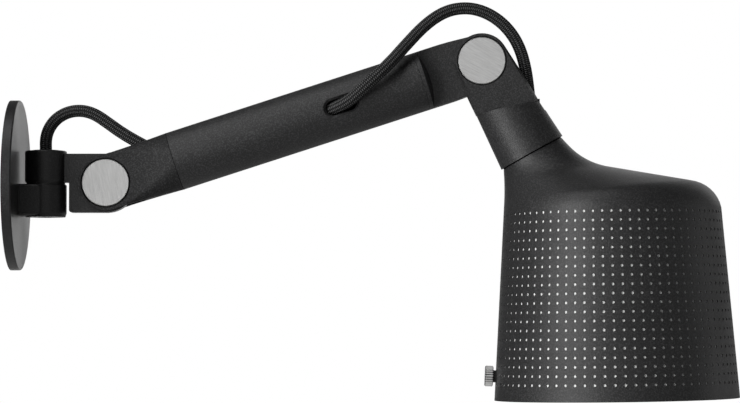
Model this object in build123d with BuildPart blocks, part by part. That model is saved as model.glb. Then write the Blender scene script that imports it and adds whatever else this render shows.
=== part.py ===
from build123d import *
import os
from math import cos, pi, radians, sin, tan

# Articulating wall lamp, in millimetres. Origin: centre of the wall plate's back face.
# +X points away from the wall, +Z up, and the lamp swings in the XZ plane at rest.

os.makedirs("parts", exist_ok=True)

# ---------------------------------------------------------------- driving dimensions
# Wall plate and the bracket behind it
plate_radius = 49.2
plate_thickness = 5.6
plate_front_wall = 1.8
plate_rim_width = 2.4
plate_edge_round = 0.8
bracket_thickness = 1.5
bracket_width = 24
bracket_half_length = 45
bracket_disc_radius = 24
bracket_tab_height = 3.5
wall_screw_spacing = 60
wall_slot_length = 9
wall_slot_width = 4.6
cable_hole_radius = 13
plate_screw_radius = 1.45

# Vertical swivel next to the wall
swivel_x = 20
collar_radius = 12.1
lower_collar_top = 0.5
lower_collar_bottom = -18.4
upper_collar_bottom = 1.55
upper_collar_top = 20
boss_half_width = 11.9
wire_channel_z = -8.5
wire_channel_radius = 3.4
swivel_tube_radius = 4.5
tube_bore_radius = 3.6
running_gap = 0.08
knuckle_screw_y = 7.2
nut_height = 4.6
nut_recess_radius = 8.4
nut_recess_floor = 11.4

# Tilt joints: a fork with two ears holds a flat tongue on a pin, under two steel discs
tongue_half = 4.6
washer_thickness = 0.5
ear_inner = 5.3
ear_outer = 9.8
ear_radius = 15.8
pin_radius = 6
cap_radius = 13.6
cap_thickness = 2.0
cap_recess_radius = 14.4
cap_recess_depth = 2.2

# Arm: pivot to pivot along a rise of 18 degrees
arm_rise = 18
arm_length = 228.2
rear_pivot = Vector(55.4, 0, 1.2)
block_half_height = 17
block_back_x = 33.9
tube_radius = 17.2
tube_inner_radius = 14.8
fork_flat_end = 8
fork_waist = 22
fork_seam = 41.3
fork_spigot_end = 54
fork_slot_depth = 18.6
front_seam = 191.4
front_ring_end = 193.7
front_dome_radius = 46
front_spigot_start = 176
lock_screws_along = (46, 184)
cord_slot_centre = 142.9
cord_slot_length = 18.4
cord_slot_width = 8.8
cord_slot_bevel = 1.4

# Head: fork, collar and the neck of the shade share one axis, 29 degrees from the vertical
head_lean = 29
yoke_length = 60.3
yoke_end_radius = 20.2
yoke_bar_radius = 17.6
yoke_bar_growth = 0.0275
ledge_along = 31
ledge_slope = 0.29
slot_floor_along = 32
slot_floor_slope = 0.57
yoke_cavity_radius = 11
yoke_cavity_top = 46
plug_thickness = 5
neck_gap = 0.7
clamp_foot_z = 43.9
clamp_height = 6

# Shade: circles spanned between a line down the wall side and a line over the roof
shade_wall = 1.2
neck_radius = 19.15
neck_wall_thickness = 3
roof_corner = (332.2, 13.2)
shoulder_corner = (409.8, -0.1)
rim_front = (421.0, -122.4)
wall_side_corner = (285.95, -2.0)
rim_back = (279.7, -124.4)
neck_sweep_radius = 40.5
shoulder_radius = 20
wall_side_radius = 150
flank_length = 110
liner_gap = 0.2
liner_thickness = 0.8
liner_length = 105
liner_flange = 5
liner_wire_radius = 0.8

# Dimmer on the wall side of the shade
dimmer_z = -110.4
knob_radius = 5.95
knob_length = 4.7
knob_grooves = 24
bushing_radius = 3.5
bushing_proud = 1.5
bushing_bore_radius = 2.5
dimmer_shaft_radius = 2.4
dimmer_body_size = 19
dimmer_body_depth = 11

# Lamp holder and bulb, on the neck's axis
neck_tube_end = 78
holder_radius = 13.5
holder_cap_start = 70
holder_start = 80
holder_end = 112
socket_floor = 88
socket_radius = 7.3
bulb_cap_radius = 6.9
bulb_globe_radius = 22.5
bulb_globe_centre = 146
bulb_seam = 131

# Cord
cord_radius = 3.55
cord_foot_z = 10
cord_end = Vector(300.7, 0, 44)
cord_end_rise = Vector(-0.075, 0, 1).normalized()
wire_radius = 1.0
wire_spread = 2.1

# ---------------------------------------------------------------- derived frames
arm_axis = Vector(cos(radians(arm_rise)), 0, sin(radians(arm_rise)))
arm_up = Vector(-arm_axis.Z, 0, arm_axis.X)
front_pivot = rear_pivot + arm_axis * arm_length
head_axis = Vector(sin(radians(head_lean)), 0, -cos(radians(head_lean)))
head_out = Vector(-head_axis.Z, 0, head_axis.X)
shade_start = yoke_length + neck_gap
neck_centre = front_pivot + head_axis * shade_start
roof_start = neck_centre + head_out * neck_radius
wall_side_start = neck_centre - head_out * neck_radius

arm_side = Plane(origin=rear_pivot, x_dir=arm_axis, z_dir=(0, -1, 0))
head_side = Plane(origin=front_pivot, x_dir=head_axis, z_dir=(0, -1, 0))


def arm_point(along, above, across=0):
    """A point given along the arm from the rear pivot, above its axis and across the lamp."""
    return rear_pivot + arm_axis * along + arm_up * above + Vector(0, across, 0)


def arm_section(along):
    return Plane(origin=arm_point(along, 0), x_dir=(0, 1, 0), z_dir=arm_axis)


def head_section(along):
    return Plane(origin=front_pivot + head_axis * along, x_dir=(0, 1, 0), z_dir=head_axis)


def keep(piece, name):
    """Label a finished piece and write it to its own file."""
    piece.part.label = name
    export_step(piece.part, f"parts/{name}.step")


# ---------------------------------------------------------------- wall bracket and plate
with BuildPart() as wall_bracket:
    with BuildSketch(Plane.YZ):
        Rectangle(bracket_width, 2 * bracket_half_length)
        Circle(bracket_disc_radius)
        Circle(cable_hole_radius, mode=Mode.SUBTRACT)
        with Locations((0, wall_screw_spacing / 2), (0, -wall_screw_spacing / 2)):
            SlotOverall(wall_slot_length, wall_slot_width, rotation=90, mode=Mode.SUBTRACT)
    extrude(amount=bracket_thickness)
    tab_z = bracket_half_length - bracket_thickness / 2
    with Locations((bracket_tab_height / 2, 0, tab_z), (bracket_tab_height / 2, 0, -tab_z)):
        Box(bracket_tab_height, bracket_width - 8, bracket_thickness)
keep(wall_bracket, "wall_bracket")

with BuildPart() as wall_plate:
    with BuildSketch(Plane.YZ):
        Circle(plate_radius)
    extrude(amount=plate_thickness)
    fillet(wall_plate.edges().group_by(Axis.X)[-1], plate_edge_round)
    with BuildSketch(Plane.YZ):
        Circle(plate_radius - plate_rim_width)
    extrude(amount=plate_thickness - plate_front_wall, mode=Mode.SUBTRACT)
    with BuildSketch(Plane.YZ):
        with Locations((0, wire_channel_z)):
            Circle(wire_channel_radius)
        with Locations((knuckle_screw_y, wire_channel_z), (-knuckle_screw_y, wire_channel_z)):
            Circle(1.5)
    extrude(amount=plate_thickness, mode=Mode.SUBTRACT)
    with BuildSketch(Plane.XY.offset(-plate_radius - 1)):
        with Locations((bracket_tab_height / 2 + 0.4, 0)):
            Circle(plate_screw_radius)
    extrude(amount=2 * plate_radius + 2, mode=Mode.SUBTRACT)
keep(wall_plate, "wall_plate")

# Two grub screws in the rim press on the bracket's tabs and hold the plate.
grub_length = 3.9
with BuildPart() as plate_screws:
    for side in (1, -1):
        tip = Plane(
            origin=(bracket_tab_height / 2 + 0.4, 0, side * bracket_half_length),
            z_dir=(0, 0, side),
        )
        with BuildSketch(tip):
            Circle(plate_screw_radius)
        extrude(amount=grub_length)
        with BuildSketch(tip.offset(grub_length)):
            RegularPolygon(0.8, 6)
        extrude(amount=-1.6, mode=Mode.SUBTRACT)
keep(plate_screws, "plate_screws")

# ---------------------------------------------------------------- vertical swivel
with BuildPart() as wall_knuckle:
    with BuildSketch(Plane.XY.offset(lower_collar_bottom)):
        with Locations((swivel_x, 0)):
            Circle(collar_radius)
    extrude(amount=lower_collar_top - lower_collar_bottom)
    chamfer(wall_knuckle.edges().group_by(Axis.Z)[0], 2.2, 0.7)
    chamfer(wall_knuckle.edges().group_by(Axis.Z)[-1], 0.6)
    boss_low = lower_collar_bottom + 0.7
    with BuildSketch(Plane.YZ.offset(plate_thickness)):
        with Locations((0, (lower_collar_top + boss_low) / 2)):
            RectangleRounded(2 * boss_half_width, lower_collar_top - boss_low, 2)
    extrude(amount=swivel_x - plate_thickness)
    with BuildSketch(Plane.YZ.offset(plate_thickness)):
        with Locations((0, wire_channel_z)):
            Circle(wire_channel_radius)
    extrude(amount=swivel_x - plate_thickness, mode=Mode.SUBTRACT)
    with BuildSketch(Plane.YZ.offset(plate_thickness)):
        with Locations((knuckle_screw_y, wire_channel_z), (-knuckle_screw_y, wire_channel_z)):
            Circle(1.45)
    extrude(amount=8, mode=Mode.SUBTRACT)
    with Locations((swivel_x, 0, lower_collar_top)):
        Hole(swivel_tube_radius)
    with Locations(Location((swivel_x, 0, lower_collar_bottom), (180, 0, 0))):
        CounterBoreHole(swivel_tube_radius, swivel_tube_radius + 0.15, 4.4)
keep(wall_knuckle, "wall_knuckle")

with BuildPart() as knuckle_screws:
    for side in (1, -1):
        seat = Plane(
            origin=(plate_thickness - plate_front_wall, side * knuckle_screw_y, wire_channel_z),
            z_dir=(1, 0, 0),
        )
        with BuildSketch(seat):
            Circle(1.45)
        extrude(amount=9)
        with BuildSketch(seat):
            Circle(2.8)
        extrude(amount=-1.7)
        with BuildSketch(seat.offset(-1.7)):
            RegularPolygon(1.2, 6)
        extrude(amount=1, mode=Mode.SUBTRACT)
keep(knuckle_screws, "knuckle_screws")

# Hollow pivot, screwed into the lower collar. A window in its side lets the wires in.
tube_foot = lower_collar_bottom + 4.4
tube_head = nut_recess_floor + 0.1 + nut_height + 0.3
with BuildPart() as swivel_tube:
    with BuildSketch(Plane.XY.offset(tube_foot)):
        with Locations((swivel_x, 0)):
            Circle(swivel_tube_radius)
            Circle(tube_bore_radius, mode=Mode.SUBTRACT)
    extrude(amount=tube_head - tube_foot)
    with BuildSketch(Plane.YZ.offset(swivel_x - 6)):
        with Locations((0, -6.5)):
            SlotOverall(11, 6.6, rotation=90)
    extrude(amount=6, mode=Mode.SUBTRACT)
keep(swivel_tube, "swivel_tube")

with BuildPart() as swivel_washer:
    with BuildSketch(Plane.XY.offset(lower_collar_top)):
        with Locations((swivel_x, 0)):
            Circle(collar_radius - 1)
            Circle(swivel_tube_radius + running_gap, mode=Mode.SUBTRACT)
    extrude(amount=1)
keep(swivel_washer, "swivel_washer")

with BuildPart() as swivel_nut:
    with BuildSketch(Plane.XY.offset(nut_recess_floor + 0.1)):
        with Locations((swivel_x, 0)):
            RegularPolygon(7.5, 6)
            Circle(swivel_tube_radius, mode=Mode.SUBTRACT)
    extrude(amount=nut_height)
keep(swivel_nut, "swivel_nut")

# Upper collar in one piece with the tongue block of the rear tilt joint
with BuildPart() as swivel_head:
    with BuildSketch(Plane.XY.offset(upper_collar_bottom)):
        with Locations((swivel_x, 0)):
            Circle(collar_radius)
    extrude(amount=upper_collar_top - upper_collar_bottom)
    fillet(swivel_head.edges().group_by(Axis.Z)[-1], 1)
    chamfer(swivel_head.edges().group_by(Axis.Z)[0], 1.3, 0.5)
    with BuildSketch(Plane.XZ):
        with BuildLine():
            block_top = rear_pivot.Z + block_half_height
            block_low = rear_pivot.Z - block_half_height
            Polyline(
                (swivel_x, upper_collar_bottom),
                (block_back_x, upper_collar_bottom),
                (block_back_x, block_low),
                (rear_pivot.X, block_low),
            )
            ThreePointArc(
                (rear_pivot.X, block_low),
                (rear_pivot.X + block_half_height, rear_pivot.Z),
                (rear_pivot.X, block_top),
            )
            Polyline(
                (rear_pivot.X, block_top),
                (swivel_x, block_top),
                (swivel_x, upper_collar_bottom),
            )
        make_face()
    extrude(amount=tongue_half, both=True)
    lower_corner = swivel_head.edges().filter_by(Axis.Y).sort_by_distance((block_back_x, 0, block_low))
    fillet(lower_corner[0], 1.7)
    with Locations((swivel_x, 0, upper_collar_top)):
        CounterBoreHole(
            swivel_tube_radius + running_gap,
            nut_recess_radius,
            upper_collar_top - nut_recess_floor,
            depth=upper_collar_top - upper_collar_bottom + 1,
        )
    with BuildSketch(arm_side):
        Circle(pin_radius + running_gap)
    extrude(amount=tongue_half, both=True, mode=Mode.SUBTRACT)
keep(swivel_head, "swivel_head")

with BuildPart() as cord_grommet:
    with BuildSketch(Plane.XY.offset(tube_head + 0.3)):
        with Locations((swivel_x, 0)):
            Circle(nut_recess_radius)
            Circle(tube_bore_radius, mode=Mode.SUBTRACT)
    extrude(amount=upper_collar_top + 0.4 - tube_head - 0.3)
    fillet(cord_grommet.edges().group_by(Axis.Z)[-1].sort_by(SortBy.LENGTH)[-1], 0.8)
keep(cord_grommet, "cord_grommet")

# ---------------------------------------------------------------- tilt joint hardware


def friction_washers(side_plane):
    """Two thin washers, one on each face of a tongue."""
    with BuildPart() as washers:
        for side in (1, -1):
            with BuildSketch(side_plane.offset(side * tongue_half)):
                Circle(ear_radius - 2.5)
                Circle(pin_radius + running_gap, mode=Mode.SUBTRACT)
            extrude(amount=side * washer_thickness)
    return washers


def pivot_pin(side_plane):
    """Hollow pin from disc to disc, fast in the ears and running in the tongue."""
    half = ear_outer - cap_recess_depth
    with BuildPart() as pin:
        with BuildSketch(side_plane):
            Circle(pin_radius)
            Circle(pin_radius - 2.5, mode=Mode.SUBTRACT)
        extrude(amount=half, both=True)
        chamfer(pin.edges().filter_by(GeomType.CIRCLE).sort_by(SortBy.RADIUS)[-2:], 0.4)
    return pin


def pivot_cap(side_plane, side):
    """Steel disc with a stub pressed into the pin; side is 1 for the near face, -1 for the far one."""
    inner_face = side_plane.offset(side * (ear_outer - cap_recess_depth))
    with BuildPart() as cap:
        with BuildSketch(inner_face):
            Circle(cap_radius)
        extrude(amount=side * cap_thickness)
        outer_rim = cap.edges().group_by(Axis.Y)[0 if side > 0 else -1]
        chamfer(outer_rim, 0.35)
        with BuildSketch(inner_face):
            Circle(pin_radius - 2.5)
        extrude(amount=-side * 5)
    return cap


for joint, side_plane in (("rear", arm_side), ("front", head_side)):
    keep(friction_washers(side_plane), f"{joint}_friction_washers")
    keep(pivot_pin(side_plane), f"{joint}_pivot_pin")
    keep(pivot_cap(side_plane, 1), f"{joint}_pivot_cap_near")
    keep(pivot_cap(side_plane, -1), f"{joint}_pivot_cap_far")

# ---------------------------------------------------------------- arm


def lock_screw(along):
    """Grub screw on the far side that locks an end fitting into the tube."""
    with BuildPart() as screw:
        with BuildSketch(arm_side.offset(-tube_radius + 0.3)):
            with Locations((along, 0)):
                Circle(1.5)
        extrude(amount=4.5)
    return screw.part


with BuildPart() as rear_fork:
    # Side fitting: flat-sided at the ears, round where it meets the tube
    with BuildSketch(arm_section(fork_flat_end)):
        RectangleRounded(2 * ear_outer, 2 * ear_radius, 1)
    with BuildSketch(arm_section(fork_waist)):
        RectangleRounded(2 * ear_outer + 3, 2 * ear_radius + 0.8, 6)
    with BuildSketch(arm_section(fork_seam)):
        RectangleRounded(2 * tube_radius, 2 * tube_radius, tube_radius - 0.02)
    loft()
    with BuildSketch(arm_side):
        Circle(ear_radius)
        with Locations((fork_flat_end / 2, 0)):
            Rectangle(fork_flat_end, 2 * ear_radius)
    extrude(amount=ear_outer, both=True)
    with BuildSketch(arm_section(fork_seam)):
        Circle(tube_inner_radius)
    extrude(amount=fork_spigot_end - fork_seam)
    # Slot for the tongue block, bore for the cord, and the cord's slanting way in from above
    with BuildSketch(arm_side):
        with Locations((fork_slot_depth - 20, 0)):
            Rectangle(40, 4 * ear_radius)
    extrude(amount=ear_inner, both=True, mode=Mode.SUBTRACT)
    with BuildSketch(arm_section(fork_slot_depth + 14)):
        Circle(10.5)
    extrude(amount=30, mode=Mode.SUBTRACT)
    cord_way = Plane(origin=arm_point(17, 25.2), z_dir=arm_axis * cos(radians(47)) - arm_up * sin(radians(47)))
    with BuildSketch(cord_way):
        Circle(4.4)
    extrude(amount=34, mode=Mode.SUBTRACT)
    with BuildSketch(arm_side):
        Circle(pin_radius)
    extrude(amount=ear_outer, both=True, mode=Mode.SUBTRACT)
    for side in (1, -1):
        with BuildSketch(arm_side.offset(side * (ear_outer - cap_recess_depth))):
            Circle(cap_recess_radius)
        extrude(amount=side * (cap_recess_depth + 3), mode=Mode.SUBTRACT)
    add(lock_screw(lock_screws_along[0]), mode=Mode.SUBTRACT)
keep(rear_fork, "rear_fork")


def on_tube_outside(point):
    """Whether a point lies on the tube's outer surface."""
    offset_from_axis = point - rear_pivot
    offset_from_axis -= arm_axis * offset_from_axis.dot(arm_axis)
    return abs(offset_from_axis.length - tube_radius) < 0.05


with BuildPart() as arm_tube:
    with BuildSketch(arm_section(fork_seam + 0.15)):
        Circle(tube_radius)
        Circle(tube_inner_radius, mode=Mode.SUBTRACT)
    extrude(amount=front_seam - fork_seam - 0.3)
    with BuildSketch(arm_side.offset(tube_radius / 2)):
        with Locations((cord_slot_centre, 0)):
            SlotOverall(cord_slot_length, cord_slot_width)
    extrude(amount=tube_radius, mode=Mode.SUBTRACT)
    slot_middle = arm_point(cord_slot_centre, 0, -tube_radius)
    slot_edges = arm_tube.edges().filter_by(lambda e: (e.center() - slot_middle).length < cord_slot_length)
    slot_rim = slot_edges.filter_by(lambda e: on_tube_outside(e @ 0) and on_tube_outside(e @ 1))
    chamfer(slot_rim, cord_slot_bevel)
    for along in lock_screws_along:
        add(lock_screw(along), mode=Mode.SUBTRACT)
keep(arm_tube, "arm_tube")

with BuildPart() as front_tongue:
    with BuildSketch(arm_side):
        with BuildSketch(mode=Mode.PRIVATE) as tongue_end:
            with Locations((arm_length, 0)):
                Circle(ear_radius - 0.2)
            with Locations((front_ring_end + 6, 0)):
                Rectangle(12, 2 * tube_radius)
        make_hull(tongue_end.sketch.edges())
    extrude(amount=tongue_half, both=True)
    with BuildSketch(arm_section(front_ring_end - 1)):
        Circle(tube_radius)
    extrude(amount=arm_length, mode=Mode.INTERSECT)
    # Ring with a slightly domed end, out of which the flat tongue grows
    dome_centre = front_ring_end - (front_dome_radius**2 - tube_radius**2) ** 0.5
    with BuildSketch(arm_side):
        with BuildLine():
            Polyline(
                (dome_centre + front_dome_radius, 0),
                (front_seam, 0),
                (front_seam, tube_radius),
                (front_ring_end, tube_radius),
            )
            RadiusArc((front_ring_end, tube_radius), (dome_centre + front_dome_radius, 0), front_dome_radius)
        make_face()
    revolve(axis=Axis(rear_pivot, arm_axis))
    with BuildSketch(arm_section(front_spigot_start)):
        Circle(tube_inner_radius)
        Circle(tube_inner_radius - 3, mode=Mode.SUBTRACT)
    extrude(amount=front_seam - front_spigot_start)
    with BuildSketch(arm_side):
        with Locations((arm_length, 0)):
            Circle(pin_radius + running_gap)
    extrude(amount=tongue_half, both=True, mode=Mode.SUBTRACT)
    add(lock_screw(lock_screws_along[1]), mode=Mode.SUBTRACT)
keep(front_tongue, "front_tongue")

with BuildPart() as tube_screws:
    for along in lock_screws_along:
        add(lock_screw(along))
keep(tube_screws, "tube_screws")

# ---------------------------------------------------------------- head yoke


def yoke_radius(along):
    return ear_radius + (yoke_end_radius - ear_radius) * along / yoke_length


with BuildPart() as head_yoke:
    # Round cone, cut off above by a slanting ledge
    with BuildSketch(head_side):
        with BuildLine():
            Polyline(
                (18, 0),
                (18, yoke_radius(18)),
                (yoke_length, yoke_end_radius),
                (yoke_length, 0),
                close=True,
            )
        make_face()
    revolve(axis=Axis(front_pivot, head_axis))
    reach = 30
    with BuildSketch(head_side):
        with BuildLine():
            Polyline(
                (ledge_along - ledge_slope * reach, -reach),
                (ledge_along + ledge_slope * reach, reach),
                (-reach, reach),
                (-reach, -reach),
                close=True,
            )
        make_face()
    extrude(amount=reach, both=True, mode=Mode.SUBTRACT)
    # Above the ledge a turned bar with two flats, trimmed to the outline of the ears
    with BuildPart(mode=Mode.PRIVATE) as ears:
        with BuildSketch(head_side):
            with BuildLine():
                Polyline(
                    (-reach, 0),
                    (-reach, yoke_bar_radius - yoke_bar_growth * reach),
                    (yoke_length, yoke_bar_radius + yoke_bar_growth * yoke_length),
                    (yoke_length, 0),
                    close=True,
                )
            make_face()
        revolve(axis=Axis(front_pivot, head_axis))
        with BuildSketch(head_side):
            with BuildSketch(mode=Mode.PRIVATE) as ear_outline:
                Circle(ear_radius)
                with Locations((yoke_length - 0.1, 0)):
                    Rectangle(0.2, 2 * yoke_end_radius)
            make_hull(ear_outline.sketch.edges())
        extrude(amount=ear_outer, both=True, mode=Mode.INTERSECT)
        with BuildSketch(head_side):
            with BuildLine():
                Polyline(
                    (ledge_along - ledge_slope * reach, -reach),
                    (ledge_along + ledge_slope * reach, reach),
                    (2 * yoke_length, reach),
                    (2 * yoke_length, -reach),
                    close=True,
                )
            make_face()
        extrude(amount=reach, both=True, mode=Mode.SUBTRACT)
    add(ears.part)
    # Slot for the arm's tongue and the cord, with a floor that is level at rest
    with BuildSketch(head_side):
        with BuildLine():
            Polyline(
                (slot_floor_along - slot_floor_slope * reach, -reach),
                (slot_floor_along + slot_floor_slope * reach, reach),
                (-reach, reach),
                (-reach, -reach),
                close=True,
            )
        make_face()
    extrude(amount=ear_inner, both=True, mode=Mode.SUBTRACT)
    # Hollow below, closed by the plug, and the wires' way down into it
    with BuildSketch(head_section(yoke_cavity_top)):
        Circle(yoke_cavity_radius)
    extrude(amount=yoke_length - yoke_cavity_top, mode=Mode.SUBTRACT)
    with BuildSketch(Plane.XY.offset(50)):
        with Locations((cord_end.X, 0)):
            Circle(4)
    extrude(amount=-22, mode=Mode.SUBTRACT)
    with BuildSketch(head_side):
        Circle(pin_radius)
    extrude(amount=ear_outer, both=True, mode=Mode.SUBTRACT)
    for side in (1, -1):
        with BuildSketch(head_side.offset(side * ear_outer)):
            Circle(cap_recess_radius)
        extrude(amount=-side * cap_recess_depth, mode=Mode.SUBTRACT)
keep(head_yoke, "head_yoke")

with BuildPart() as yoke_plug:
    with BuildSketch(head_section(yoke_length - plug_thickness)):
        Circle(yoke_cavity_radius)
        Circle(swivel_tube_radius + running_gap, mode=Mode.SUBTRACT)
    extrude(amount=plug_thickness)
keep(yoke_plug, "yoke_plug")

# Neck tube: its flange rests on the plug, and the shade and lamp holder hang on its lower end.
with BuildPart() as neck_tube:
    with BuildSketch(head_section(yoke_length - plug_thickness - 2.1)):
        Circle(7.5)
        Circle(tube_bore_radius, mode=Mode.SUBTRACT)
    extrude(amount=2)
    with BuildSketch(head_section(yoke_length - plug_thickness - 0.1)):
        Circle(swivel_tube_radius)
        Circle(tube_bore_radius, mode=Mode.SUBTRACT)
    extrude(amount=neck_tube_end - yoke_length + plug_thickness + 0.1)
keep(neck_tube, "neck_tube")

with BuildPart() as neck_washer:
    with BuildSketch(head_section(yoke_length + 0.1)):
        Circle(neck_radius - 1.6)
        Circle(swivel_tube_radius, mode=Mode.SUBTRACT)
    extrude(amount=neck_gap - 0.1)
keep(neck_washer, "neck_washer")

with BuildPart() as shade_nut:
    with BuildSketch(head_section(shade_start + neck_wall_thickness)):
        RegularPolygon(8, 6)
        Circle(swivel_tube_radius, mode=Mode.SUBTRACT)
    extrude(amount=4)
keep(shade_nut, "shade_nut")

# The clamp fills the slot between the ears and grips the cord's end.
with BuildPart() as cord_clamp:
    with BuildSketch(Plane.XY.offset(clamp_foot_z)):
        with Locations((cord_end.X, 0)):
            Rectangle(10.5, 2 * ear_inner)
    extrude(amount=clamp_height)
    with BuildSketch(Plane(origin=cord_end - cord_end_rise, z_dir=cord_end_rise)):
        Circle(cord_radius + 0.1)
    extrude(amount=2 * clamp_height, mode=Mode.SUBTRACT)
keep(cord_clamp, "cord_clamp")

# ---------------------------------------------------------------- shade


def from_the_top(line, share):
    """A point on a line, by its share of the length below the upper end."""
    if (line @ 0).Z > (line @ 1).Z:
        return line @ share
    return line @ (1 - share)


def shade_lines(inset):
    """The line over the roof and the line down the wall side, moved inwards by inset."""
    with BuildLine(Plane.XZ) as roof:
        FilletPolyline(
            (roof_start.X, roof_start.Z),
            roof_corner,
            shoulder_corner,
            rim_front,
            radius=(neck_sweep_radius, shoulder_radius),
        )
        if inset:
            offset(amount=inset, side=Side.LEFT, closed=False)
    with BuildLine(Plane.XZ) as wall_side:
        FilletPolyline(
            (wall_side_start.X, wall_side_start.Z), wall_side_corner, rim_back, radius=(wall_side_radius,)
        )
        if inset:
            offset(amount=inset, side=Side.LEFT, closed=False)
    return roof.wires()[0], wall_side.wires()[0]


def spanned_circle(lines, roof_share, side_share):
    """Plane and radius of the circle whose diameter joins a point on each line."""
    roof_at = from_the_top(lines[0], roof_share)
    side_at = from_the_top(lines[1], side_share)
    across = roof_at - side_at
    plane = Plane(origin=(roof_at + side_at) / 2, x_dir=(0, 1, 0), z_dir=across.cross(Vector(0, 1, 0)))
    return plane, across.length / 2


def flank_circle(inset, down):
    """Circle of the round wall, at a distance below the shoulder."""
    lines = shade_lines(inset)
    left_over = flank_length - down
    return spanned_circle(lines, 1 - left_over / lines[0].length, 1 - left_over / lines[1].length)


def flank_solid(inset, start, end):
    """The round wall's form as a solid, between two distances below the shoulder."""
    with BuildPart() as form:
        for down in (start, end):
            plane, radius = flank_circle(inset, down)
            with BuildSketch(plane):
                Circle(radius)
        loft()
    return form.part


def roof_solid(inset):
    """Loft of the circles that fan out from the tilted neck to the level shoulder."""
    lines = shade_lines(inset)
    roof_share = 1 - flank_length / lines[0].length
    side_share = 1 - flank_length / lines[1].length
    with BuildPart() as form:
        for step in (0, 0.06, 0.14, 0.24, 0.36, 0.5, 0.64, 0.76, 0.86, 0.93, 1):
            plane, radius = spanned_circle(lines, step * roof_share, step * side_share)
            with BuildSketch(plane):
                Circle(radius)
        loft()
    return form.part


# Plane of the dimmer's axis, on the outside of the wall and looking out of it
wall_down = (Vector(rim_back[0], 0, rim_back[1]) - Vector(wall_side_corner[0], 0, wall_side_corner[1])).normalized()
dimmer_out = Vector(wall_down.Z, 0, -wall_down.X)
dimmer_x = rim_back[0] + (dimmer_z - rim_back[1]) * wall_down.X / wall_down.Z
dimmer_face = Plane(origin=(dimmer_x, 0, dimmer_z), x_dir=(0, 1, 0), z_dir=dimmer_out)
dimmer_seat = -(shade_wall + liner_gap + liner_thickness + 1)

with BuildPart() as dimmer_bushing:
    with BuildSketch(dimmer_face.offset(dimmer_seat)):
        Circle(bushing_radius)
        Circle(bushing_bore_radius, mode=Mode.SUBTRACT)
    extrude(amount=bushing_proud - dimmer_seat)
keep(dimmer_bushing, "dimmer_bushing")

with BuildPart() as shade:
    add(roof_solid(0))
    add(flank_solid(0, 0, flank_length))
    add(roof_solid(shade_wall), mode=Mode.SUBTRACT)
    add(flank_solid(shade_wall, 0, flank_length), mode=Mode.SUBTRACT)
    with BuildSketch(head_section(shade_start)):
        Circle(neck_radius - shade_wall / 2)
    extrude(amount=neck_wall_thickness)
    with BuildSketch(head_section(shade_start)):
        Circle(swivel_tube_radius)
    extrude(amount=neck_wall_thickness, mode=Mode.SUBTRACT)
    with BuildSketch(dimmer_face.offset(dimmer_seat)):
        Circle(bushing_radius)
    extrude(amount=bushing_proud - dimmer_seat, mode=Mode.SUBTRACT)
keep(shade, "shade")

liner_outside = shade_wall + liner_gap
with BuildPart() as shade_liner:
    add(flank_solid(liner_outside, 0, liner_length))
    add(flank_solid(liner_outside + liner_thickness, liner_thickness, liner_length), mode=Mode.SUBTRACT)
    add(flank_solid(liner_outside + liner_flange, -liner_thickness, liner_length), mode=Mode.SUBTRACT)
    with BuildSketch(dimmer_face.offset(dimmer_seat)):
        Circle(bushing_radius)
    extrude(amount=bushing_proud - dimmer_seat, mode=Mode.SUBTRACT)
keep(shade_liner, "shade_liner")

# Snap ring under the liner's lower edge
with BuildPart() as liner_ring:
    ring_plane, ring_radius = flank_circle(shade_wall + liner_wire_radius, liner_length + liner_wire_radius)
    with Locations(ring_plane.location):
        Torus(ring_radius, liner_wire_radius)
keep(liner_ring, "liner_ring")

# ---------------------------------------------------------------- dimmer
with BuildPart() as dimmer_body:
    with BuildSketch(dimmer_face.offset(dimmer_seat)):
        RectangleRounded(dimmer_body_size, dimmer_body_size, 1.5)
    extrude(amount=-dimmer_body_depth)
    with BuildSketch(dimmer_face.offset(dimmer_seat)):
        Circle(bushing_bore_radius)
    extrude(amount=-5, mode=Mode.SUBTRACT)
keep(dimmer_body, "dimmer_body")

knob_start = bushing_proud + 0.1
with BuildPart() as dimmer_shaft:
    with BuildSketch(dimmer_face.offset(dimmer_seat - 4.5)):
        Circle(dimmer_shaft_radius)
    extrude(amount=knob_start + 3 - dimmer_seat + 4.5)
keep(dimmer_shaft, "dimmer_shaft")

with BuildPart() as dimmer_knob:
    with BuildSketch(dimmer_face.offset(knob_start)):
        Circle(knob_radius)
        with PolarLocations(knob_radius, knob_grooves):
            Rectangle(0.7, 0.7, rotation=45, mode=Mode.SUBTRACT)
    extrude(amount=knob_length)
    with BuildSketch(dimmer_face.offset(knob_start)):
        Circle(dimmer_shaft_radius)
    extrude(amount=3, mode=Mode.SUBTRACT)
keep(dimmer_knob, "dimmer_knob")

# ---------------------------------------------------------------- lamp holder and bulb
head_line = Axis(front_pivot, head_axis)

with BuildPart() as holder_cap:
    with BuildSketch(head_section(holder_cap_start)):
        Circle(holder_radius)
    extrude(amount=holder_start - holder_cap_start)
    chamfer(holder_cap.faces().sort_by(head_line)[0].edges(), 4)
    with BuildSketch(head_section(holder_cap_start + 4)):
        Circle(holder_radius - 2)
    extrude(amount=holder_start - holder_cap_start, mode=Mode.SUBTRACT)
    with BuildSketch(head_section(holder_cap_start)):
        Circle(swivel_tube_radius)
    extrude(amount=5, mode=Mode.SUBTRACT)
keep(holder_cap, "holder_cap")

with BuildPart() as lamp_holder:
    with BuildSketch(head_section(holder_start)):
        Circle(holder_radius)
    extrude(amount=holder_end - holder_start)
    with BuildSketch(head_section(socket_floor)):
        Circle(socket_radius)
    extrude(amount=holder_end - socket_floor, mode=Mode.SUBTRACT)
    with BuildSketch(head_section(holder_start)):
        Circle(holder_radius - 2)
    extrude(amount=4, mode=Mode.SUBTRACT)
keep(lamp_holder, "lamp_holder")

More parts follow.
